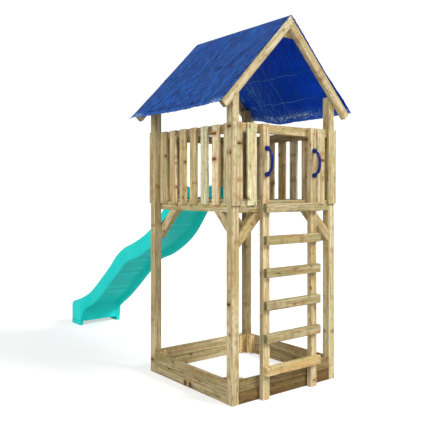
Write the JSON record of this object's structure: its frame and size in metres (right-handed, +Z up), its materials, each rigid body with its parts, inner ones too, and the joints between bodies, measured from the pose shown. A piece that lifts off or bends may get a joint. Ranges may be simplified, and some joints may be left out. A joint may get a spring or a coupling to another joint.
{
  "type": "garden play tower with slide",
  "caption": "Timber play tower: a raised platform with slatted sides under a pitched cover, a ladder with grab handles, a sandpit frame and a wave slide.",
  "frame": {"origin": "on the ground, at the centre of the bounding box's bottom face", "axes": "+Z up, +Y from the ladder side towards the end of the slide, +X to the right for someone who faces the ladder"},
  "size_m": [1.404, 3.4554, 2.9222],
  "materials": {
    "pine": "planed, pressure-treated pine",
    "handle_plastic": "moulded plastic, half gloss",
    "tarpaulin": "coated woven tarpaulin",
    "slide_plastic": "moulded plastic, half gloss"
  },
  "bodies": {
    "root": {"post_front_left": "pine", "post_front_right": "pine", "post_back_left": "pine", "post_back_right": "pine", "beam_front": "pine", "beam_back": "pine", "beam_left": "pine", "beam_right": "pine", "platform_floor": "pine", "parapet_front": "pine", "parapet_back": "pine", "parapet_left": "pine", "parapet_right": "pine", "sandpit_front": "pine", "sandpit_back": "pine", "sandpit_left": "pine", "sandpit_right": "pine", "brace_front_left": "pine", "brace_front_right": "pine", "brace_back_left": "pine", "brace_back_right": "pine", "brace_left_front": "pine", "brace_left_back": "pine", "brace_right_front": "pine", "brace_right_back": "pine", "ladder_stile_left": "pine", "ladder_stile_right": "pine", "rung_1": "pine", "rung_2": "pine", "rung_3": "pine", "rung_4": "pine", "rung_5": "pine", "rung_6": "pine", "grab_handle_left": "handle_plastic", "grab_handle_right": "handle_plastic", "rafter_front_left": "pine", "rafter_front_right": "pine", "rafter_back_left": "pine", "rafter_back_right": "pine", "ridge_beam": "pine", "ridge_gusset_front": "pine", "ridge_gusset_back": "pine", "roof_cover": "tarpaulin", "slide": "slide_plastic"}
  },
  "joints": []
}
